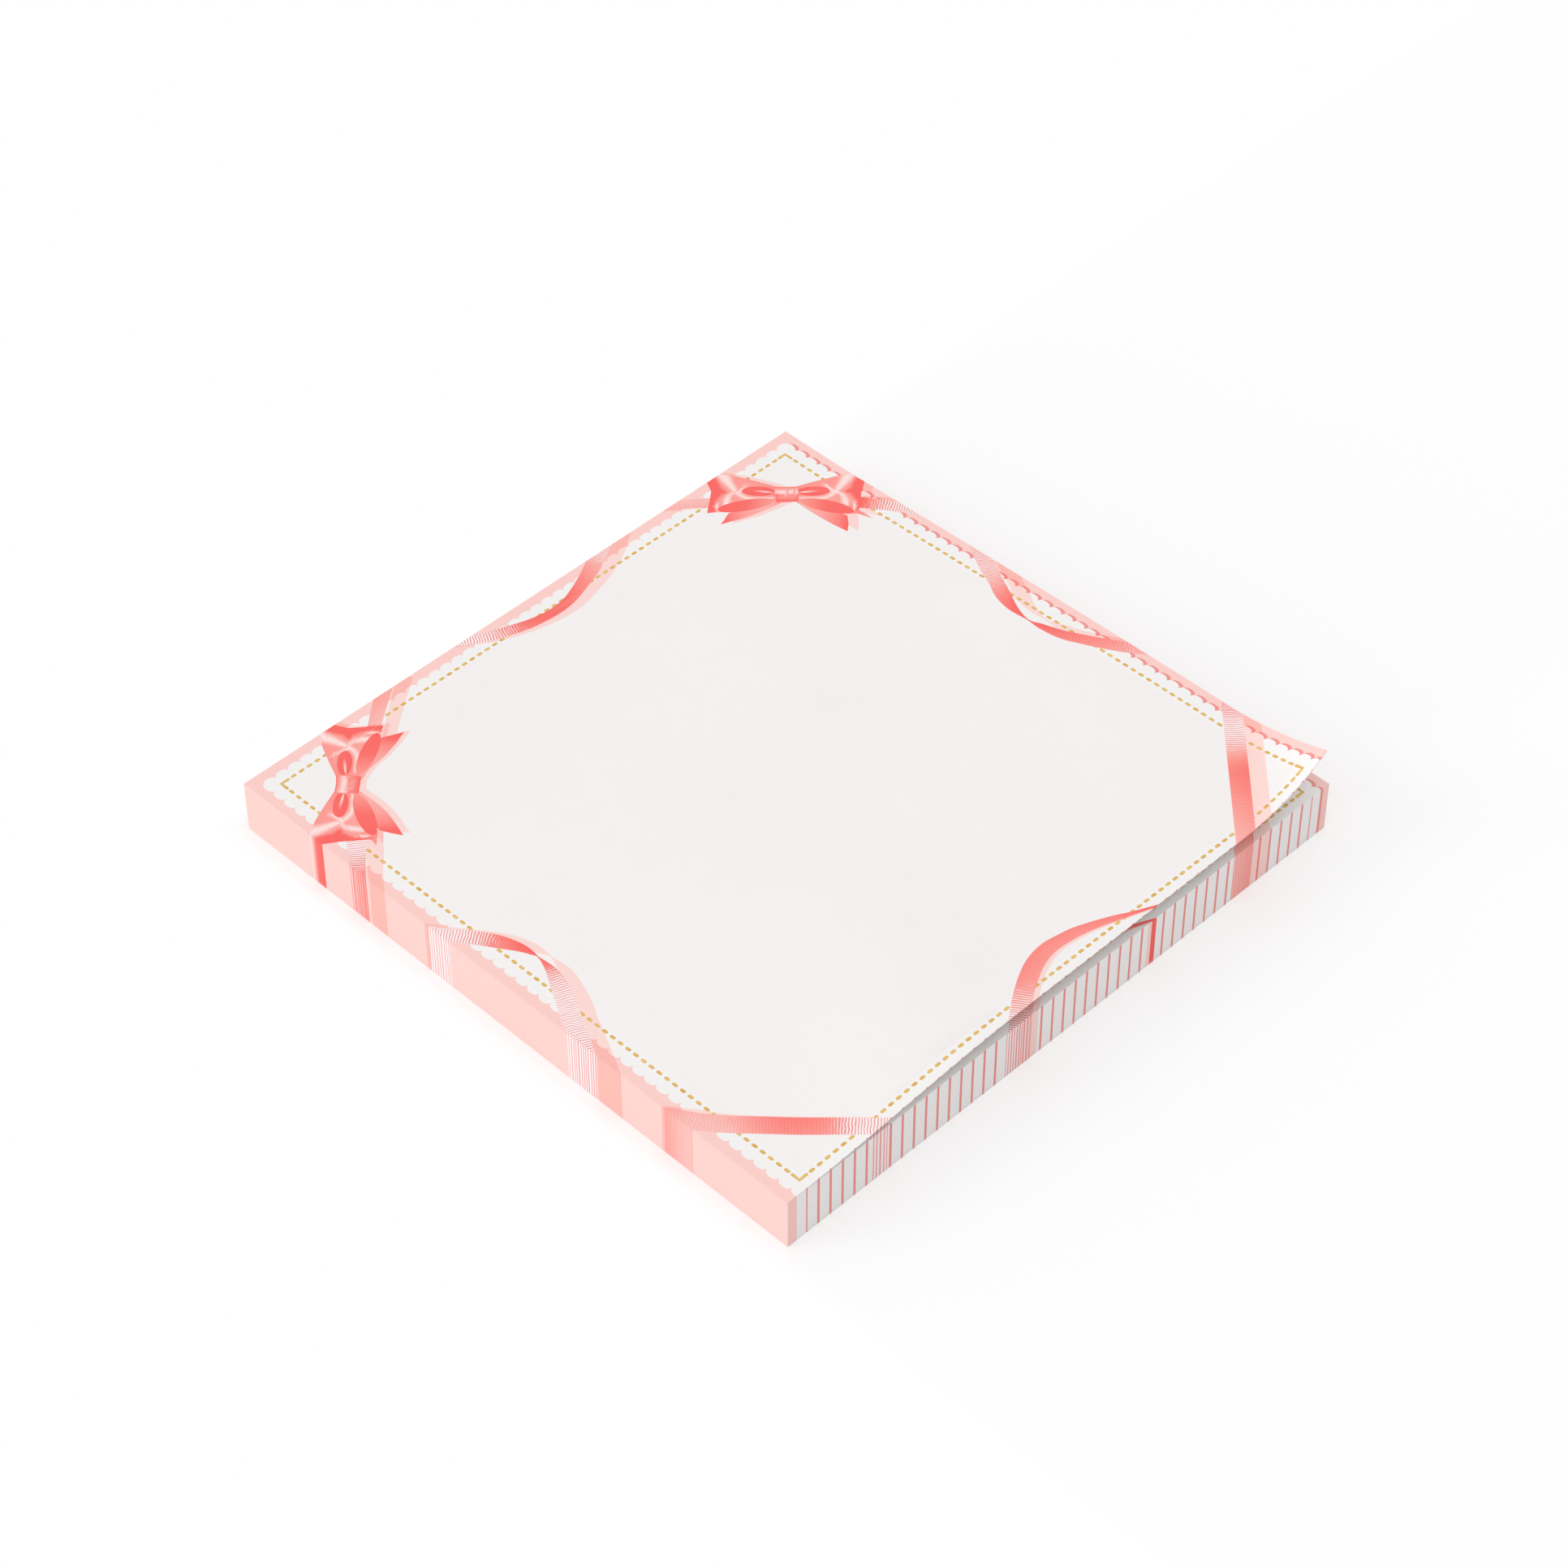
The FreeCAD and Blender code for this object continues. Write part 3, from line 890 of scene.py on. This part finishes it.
def triangulate(closed, opened, loose):
    """Constrained Delaunay triangles of the note: flat points (n, 2) and corners (m, 3), counter-clockwise.

    Closed rings and opened lines become edges of the mesh, and loose points become vertices. Points within
    ten merge distances of the border are put on it. Triangles whose middle lies off the note are dropped,
    with the points that only they used.
    """
    points, edges, start = [], [], 0
    for line, is_ring in [(ring, True) for ring in closed] + [(line, False) for line in opened]:
        index = np.arange(len(line)) + start
        edges.append(np.stack([index, np.roll(index, -1)], axis=1)[:len(line) if is_ring else -1])
        points.append(line)
        start += len(line)
    points, edges = np.vstack(points + [loose]).tolist(), np.vstack(edges).tolist()
    flat, _, faces, _, _, _ = delaunay_2d_cdt(points, edges, [], 0, MERGE, False)
    flat = np.array([point[:] for point in flat])
    flat = np.where(np.abs(np.abs(flat) - HALF) < 10 * MERGE, np.sign(flat) * HALF, flat)
    corners = np.array([tuple(face) for face in faces])
    corners = corners[(np.abs(flat[corners].mean(axis=1)) < HALF).all(axis=1)]
    first, second = flat[corners[:, 1]] - flat[corners[:, 0]], flat[corners[:, 2]] - flat[corners[:, 0]]
    area = first[:, 0] * second[:, 1] - first[:, 1] * second[:, 0]
    corners = np.where(area[:, None] < 0, corners[:, ::-1], corners)
    used, renumbered = np.unique(corners, return_inverse=True)
    return flat[used], renumbered.reshape(-1, 3)


outlines = [border_ring()] + [ring for rings, _, _ in LAYERS for ring in rings]
loose_points = np.vstack([grid_points(GRID_STEP, HALF), bow_points(1), bow_points(-1)])
print_flat, print_corners = triangulate(outlines, curl_rulings(), loose_points)
print(f"print mesh of {len(print_flat)} points and {len(print_corners)} triangles")

# %% [markdown]
# ## Inking the triangles
#
# Each ink is laid over the triangles whose middle lies in one of its rings. Its rule gives the colour at the
# three corners of each triangle, from the places of the corners and the colour that is already there. Colours
# belong to corners and not to points, so two inks can meet on one edge without bleeding into each other.

# %% Ink


def ink_triangles(flat, corners):
    """Screen colours (m, 3, 3) and ribbon threads (m, 3, 3) at the corners of every triangle."""
    places = flat[corners]
    middles = places.mean(axis=1)
    colours = np.broadcast_to(BORDER, places.shape[:2] + (3,)).copy()
    weave = np.zeros_like(colours)
    for rings, paint, threads in LAYERS:
        covered = inside_any(middles, rings)
        colours[covered] = paint(places[covered], colours[covered])
        if threads:
            weave[covered] = threads(places[covered])
        elif paint is not shadow_ink:
            weave[covered] = 0
    return colours, weave


def to_light(screen):
    """Light values for screen values from 0 to 255, by the sRGB curve."""
    share = np.clip(screen / 255, 0, 1)
    return np.where(share <= 0.04045, share / 12.92, ((share + 0.055) / 1.055) ** 2.4)


print_screen, print_weave = ink_triangles(print_flat, print_corners)
print_light = to_light(print_screen)
print("mean colour of the print:", print_screen.mean(axis=(0, 1)).round())

# %% [markdown]
# ## Hanging the print on the pieces
#
# The top note is the print bent up, the same outline bent a note's thickness lower, and a narrow band that
# joins their borders. The block is the print laid flat, a plain underside, and walls that step down note by
# note: cut paper never lines up perfectly, so each note is drawn in by its own share of about a hundredth of
# a millimetre. The band and the walls take the colours of the print's border straight down, as the edge of a
# printed block does, and the card at the foot, which was cut with the notes, takes them too.

# %% Border of the print


def around(points):
    """Place along the border: 0 at the near left corner, then counter-clockwise, one for each side."""
    x, y = points[:, 0] / (2 * HALF) + 0.5, points[:, 1] / (2 * HALF) + 0.5
    on_side = [np.isclose(y, 0), np.isclose(x, 1), np.isclose(y, 1), np.isclose(x, 0)]
    return np.select(on_side, [x, 1 + y, 3 - x, 4 - y]) % 4


def border_edges(flat, corners):
    """Edges of one triangle alone, in order along the border: their first point, their triangle and corner."""
    following = np.roll(corners, -1, axis=1)
    alone = ~np.isin(corners * len(flat) + following, following * len(flat) + corners)
    triangle, corner = np.nonzero(alone)
    first = corners[triangle, corner]
    order = np.argsort(around(flat[first]))
    return first[order], triangle[order], corner[order]


border, border_triangle, border_corner = border_edges(print_flat, print_corners)


def along_border(values):
    """Corner values of the print at both ends of every border edge: (edges, 2, 3)."""
    following = (border_corner + 1) % 3
    return np.stack([values[border_triangle, border_corner], values[border_triangle, following]], axis=1)


edge_light, edge_weave = along_border(print_light), along_border(print_weave)
blank_flat, blank_corners = triangulate([print_flat[border]], curl_rulings(), grid_points(GRID_STEP, HALF))
blank_border, _, _ = border_edges(blank_flat, blank_corners)
if len(blank_border) != len(border):
    raise RuntimeError("the blank underside and the print don't share one border")
print(f"{len(border)} points on the border, {len(blank_corners)} triangles on a blank underside")

# %% A printed piece


def printed_piece(name, top, bottom, rings, material, print_on_top=True):
    """A closed mesh: the print over the top points, blank stock over the bottom ones, and walls between.

    Rings are rows of border points (rows, edges, 3) from the top to the bottom. The first and last rows are
    the borders of the top and the bottom, so only the rows between them are new points. Without a print on
    top, the top is blank as well and only the walls are coloured.
    """
    top_corners, top_border = (print_corners, border) if print_on_top else (blank_corners, blank_border)
    between_rings = rings[1:-1].reshape(-1, 3)
    vertices = np.vstack([top, bottom, between_rings])
    numbers = len(top) + len(bottom) + np.arange(len(between_rings)).reshape(-1, len(border))
    rows = np.vstack([top_border, numbers, len(top) + blank_border])
    upper, lower = rows[:-1], rows[1:]
    quads = [lower, np.roll(lower, -1, axis=1), np.roll(upper, -1, axis=1), upper]
    walls = np.stack(quads, axis=-1).reshape(-1, 4)
    blank = blank_corners[:, ::-1] + len(top)
    mesh = bpy.data.meshes.new(name)
    mesh.from_pydata((vertices * MM).tolist(), [], top_corners.tolist() + blank.tolist() + walls.tolist())

    def loop_values(printed, edge, plain):
        """Values for every corner of the mesh: those of the top, then plain ones, then those of the border."""
        cover = printed.reshape(-1, 3) if print_on_top else np.tile(plain, (top_corners.size, 1))
        wall = np.tile(edge[:, [0, 1, 1, 0]], (len(upper), 1, 1))
        return np.vstack([cover, np.tile(plain, (blank.size, 1)), wall.reshape(-1, 3)])

    colour = loop_values(print_light, edge_light, to_light(PAPER))
    attribute = mesh.color_attributes.new("print_colour", "FLOAT_COLOR", "CORNER")
    attribute.data.foreach_set("color", np.hstack([colour, np.ones((len(colour), 1))]).ravel())
    weave = mesh.attributes.new("ribbon_thread", "FLOAT_VECTOR", "CORNER")
    weave.data.foreach_set("vector", loop_values(print_weave, edge_weave, np.zeros(3)).ravel())
    mesh.materials.append(material)
    mesh.update()
    piece = add_object(name, mesh)
    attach(piece, "root")
    print(f"{name}: {len(vertices)} points, {len(mesh.polygons)} faces")
    return piece


# %% [markdown]
# ## Materials
#
# Paper is never one colour: its fibres lie in soft clouds, and its surface is a fine felt. That cloud and
# felt are one node group, since notes, card and glue all need them, each with its own strength. On top of it
# the printed stock weaves the satin ribbons: fine threads run across each ribbon, and where the satin frays
# they part and only thin dusky ones are left on pale. The threads are the waves of a sine along the ribbon,
# read a little unevenly so that they waver, and a fine noise makes some of them thicker than others.

# %% Finish helpers


def noise(tree, place, scale, detail):
    """A noise texture's value at a place."""
    return shader(tree, "ShaderNodeTexNoise", Vector=place, Scale=scale, Detail=detail).outputs[0]


def stretched(tree, place, scale):
    """A place with its three axes scaled apart."""
    return shader(tree, "ShaderNodeMapping", Vector=place, Scale=scale).outputs[0]


def shaded_by(tree, colour, level):
    """A colour times a level."""
    return shader(tree, "ShaderNodeVectorMath", (0, colour), Scale=level, operation="SCALE").outputs[0]


def blend(tree, share, first, second):
    """From the first colour to the second by a share. Numbers 6, 7 and 2 are a Mix node's colour sockets."""
    return shader(tree, "ShaderNodeMix", (0, share), (6, first), (7, second), data_type="RGBA").outputs[2]


def linear(*screen):
    """A light colour with full alpha for a screen colour."""
    return (*to_light(np.array(screen)), 1.0)


def new_group(name, inputs, outputs):
    """A shader node group with named sockets: its tree, its input node and its output node."""
    tree = bpy.data.node_groups.new(name, "ShaderNodeTree")
    for label, kind, value in inputs:
        tree.interface.new_socket(label, in_out="INPUT", socket_type=kind).default_value = value
    for label, kind in outputs:
        tree.interface.new_socket(label, in_out="OUTPUT", socket_type=kind)
    return tree, tree.nodes.new("NodeGroupInput"), tree.nodes.new("NodeGroupOutput")


# %% Paper surface group
CLOUD_SCALE = 55.0        # per metre, so a cloud is about two centimetres
MOTTLE_SCALE = 420.0
FELT_SCALE = 5200.0
CLOUD_SHARE, MOTTLE_SHARE = 0.75, 0.25
FIBRES = (1.0, 0.35, 1.0)     # the felt's fibres lie along Y
FELT_TONE = 0.02              # how much lighter or darker the felt makes the colour
SMOOTHEST, ROUGHNESS_SPAN = 0.7, 0.2


def make_paper_surface():
    """Group that clouds a colour and gives the roughness and the height of a felt of fibres."""
    colour, number = "NodeSocketColor", "NodeSocketFloat"
    tree, given, made = new_group(
        "paper_surface",
        [("Colour", colour, WHITE), ("Cloud", number, 0.04), ("Felt", number, 0.5)],
        [("Colour", colour), ("Roughness", number), ("Height", number)],
    )
    place = shader(tree, "ShaderNodeTexCoord").outputs["Object"]
    cloud = maths(tree, "MULTIPLY", noise(tree, place, CLOUD_SCALE, 3.0), CLOUD_SHARE)
    mottle = maths(tree, "MULTIPLY", noise(tree, place, MOTTLE_SCALE, 2.0), MOTTLE_SHARE)
    felt = noise(tree, stretched(tree, place, FIBRES), FELT_SCALE, 3.0)
    uneven = maths(tree, "SUBTRACT", maths(tree, "ADD", cloud, mottle), 0.5)
    shade = maths(tree, "MULTIPLY", uneven, given.outputs["Cloud"])
    grain = maths(tree, "MULTIPLY", maths(tree, "SUBTRACT", felt, 0.5), FELT_TONE)
    level = maths(tree, "ADD", 1.0, maths(tree, "ADD", shade, grain))
    roughness = maths(tree, "ADD", SMOOTHEST, maths(tree, "MULTIPLY", felt, ROUGHNESS_SPAN))
    tree.links.new(shaded_by(tree, given.outputs["Colour"], level), made.inputs["Colour"])
    tree.links.new(roughness, made.inputs["Roughness"])
    tree.links.new(maths(tree, "MULTIPLY", felt, given.outputs["Felt"]), made.inputs["Height"])
    return tree


paper_surface = make_paper_surface()
print("group", paper_surface.name, "with", len(paper_surface.nodes), "nodes")

# %% Printed stock with its satin
FRAY_WHITE = linear(253.0, 238.0, 237.0)
DUSKY_ROSE = linear(229.0, 148.0, 151.0)
THREADS_PER_MM = 3.4
WAVER = 0.3               # millimetres by which a thread wavers
WAVER_SCALE = (0.9, 1.3, 0.0)         # per millimetre along the ribbon and across it
FINE_SCALE = (5.0, 1.1, 1.0)          # the same for the noise that makes some threads thicker
RIDGE_SHARE, FINE_SHARE = 0.46, 0.4   # how much the threads and the noise give to the level of the weave
PLAIN_LEVEL = 0.25        # level of the weave that leaves the ribbon's colour as it is
SATIN_GRAIN = 0.18        # how much lighter and darker the weave makes the ribbon
BARE_START, BARE_GAIN = 0.76, 0.85    # level above which it is bare, and how far full fray brings that down
BARE_FADE = 0.12          # how far below and above that level the change reaches
BARE_RAMP = 8.0           # bare places are at full strength from an eighth of fray on
DUSK = 0.7                # how dusky full fray makes the threads that are left
THREAD_HEIGHT = 0.6
FELT_DEPTH = 0.000012
PRINT_RELIEF, PLAIN_RELIEF = 0.35, 0.5
PRINT_SPECULAR = 0.25


def finish_paper(tree, colour, cloud, felt, relief, weft=None, **gloss):
    """The paper surface over a colour, then a bump and the shader, up to the material's output.

    Relief is the strength of the bump. Where a weft is given, its height is added to the felt's.
    """
    paper = shader(tree, "ShaderNodeGroup", node_tree=paper_surface, Colour=colour, Cloud=cloud, Felt=felt)
    height = paper.outputs["Height"]
    if weft:
        height = maths(tree, "ADD", height, weft)
    bump = shader(tree, "ShaderNodeBump", Height=height, Strength=relief, Distance=FELT_DEPTH)
    surface = shader(
        tree, "ShaderNodeBsdfPrincipled", Base_Color=paper.outputs["Colour"],
        Roughness=paper.outputs["Roughness"], Normal=bump.outputs[0], **gloss,
    )
    shader(tree, "ShaderNodeOutputMaterial", Surface=surface.outputs[0])


def make_printed_stock(name, cloud, felt):
    """Stock printed with the mesh's own colours, with threads and fray on the ribbons."""
    material, tree = new_material(name)
    ink = shader(tree, "ShaderNodeAttribute", attribute_name="print_colour").outputs["Color"]
    thread = shader(tree, "ShaderNodeAttribute", attribute_name="ribbon_thread").outputs["Vector"]
    run, across, wear = shader(tree, "ShaderNodeSeparateXYZ", Vector=thread).outputs
    on_ribbon = maths(tree, "MULTIPLY", wear, 1.0, clamp=True)
    fray = maths(tree, "SUBTRACT", wear, 1.0, clamp=True)

    wave = noise(tree, stretched(tree, thread, WAVER_SCALE), 1.0, 1.0)
    uneven_run = maths(tree, "ADD", run, maths(tree, "MULTIPLY", wave, WAVER))
    ridge = maths(tree, "SINE", maths(tree, "MULTIPLY", uneven_run, 2 * math.pi * THREADS_PER_MM))
    weave = shader(tree, "ShaderNodeCombineXYZ", X=uneven_run, Y=across).outputs[0]
    fine = noise(tree, stretched(tree, weave, FINE_SCALE), 1.0, 1.0)
    fine_part = maths(tree, "MULTIPLY", fine, FINE_SHARE)
    level = maths(tree, "ADD", maths(tree, "MULTIPLY", ridge, RIDGE_SHARE), fine_part)
    grain = maths(tree, "MULTIPLY", on_ribbon, SATIN_GRAIN)
    weft = maths(tree, "MULTIPLY", maths(tree, "SUBTRACT", level, PLAIN_LEVEL), grain)
    woven = shaded_by(tree, ink, maths(tree, "ADD", 1.0, weft))

    bare_above = maths(tree, "SUBTRACT", BARE_START, maths(tree, "MULTIPLY", fray, BARE_GAIN))
    bare = shader(
        tree, "ShaderNodeMapRange", Value=level, interpolation_type="SMOOTHSTEP",
        From_Min=maths(tree, "SUBTRACT", bare_above, BARE_FADE),
        From_Max=maths(tree, "ADD", bare_above, BARE_FADE),
    ).outputs[0]
    worn = blend(tree, maths(tree, "MULTIPLY", fray, DUSK), woven, DUSKY_ROSE)
    bare_share = maths(tree, "MULTIPLY", bare, maths(tree, "MULTIPLY", fray, BARE_RAMP, clamp=True))
    printed = blend(tree, bare_share, worn, FRAY_WHITE)
    raised = maths(tree, "MULTIPLY", weft, THREAD_HEIGHT)
    finish_paper(tree, printed, cloud, felt, PRINT_RELIEF, raised, Specular_IOR_Level=PRINT_SPECULAR)
    return material


def make_plain(name, colour, cloud, felt):
    """Unprinted stock on the paper surface: one colour, clouded, with a felt of its own strength."""
    material, tree = new_material(name)
    finish_paper(tree, colour, cloud, felt, PLAIN_RELIEF)
    return material


note_paper = make_printed_stock("note_paper", cloud=0.06, felt=0.6)
backing_card = make_printed_stock("backing_card", cloud=0.1, felt=1.0)
glue_film = make_plain("glue_film", linear(236.0, 231.0, 218.0), cloud=0.2, felt=0.3)
for node in ("backing_adhesive", "top_sheet_adhesive"):
    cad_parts[node].data.materials.clear()
    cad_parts[node].data.materials.append(glue_film)
print("materials:", [material.name for material in bpy.data.materials])

# %% Top note
SHARPEST_SMOOTH = math.radians(35)        # edges that turn more than this stay sharp

top_points = bend(print_flat, NOTE_THICKNESS)
under_points = bend(blank_flat)
top_rings = np.stack([top_points[border], under_points[blank_border]])
top_note = printed_piece("top_note", top_points, under_points, top_rings, note_paper)
top_note.data.shade_smooth()
top_note.data.set_sharp_from_angle(angle=SHARPEST_SMOOTH)
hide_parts("top_sheet")

# %% Block of notes
CUT_SPREAD = 0.012        # how far a note of the block can lie inside the widest one
CUT_SEED = 11


def level(flat, height, inset=0.0):
    """Flat points at one height, drawn in towards the middle so that the border moves in by the inset."""
    return np.column_stack([flat * (1 - inset / HALF), np.full(len(flat), height)])


insets = np.random.default_rng(CUT_SEED).uniform(0, CUT_SPREAD, NOTES_IN_BLOCK)
insets[0] = 0
heights = BLOCK_TOP - NOTE_THICKNESS * np.arange(NOTES_IN_BLOCK + 1)
border_flat = print_flat[border]
block_rings = np.stack([
    level(border_flat, heights[note + step], insets[note]) for note in range(NOTES_IN_BLOCK) for step in (0, 1)
])
block_top, block_foot = level(print_flat, BLOCK_TOP), level(blank_flat, heights[-1], insets[-1])
note_block = printed_piece("note_block", block_top, block_foot, block_rings, note_paper)
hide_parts("page_block")

# %% Backing card
card_low, card_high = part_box("backing_sheet")
card_heights = (card_high.z / MM, card_low.z / MM)
card_rings = np.stack([level(border_flat, height) for height in card_heights])
card_faces = [level(blank_flat, height) for height in card_heights]
backing = printed_piece("backing", *card_faces, card_rings, backing_card, print_on_top=False)
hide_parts("backing_sheet")
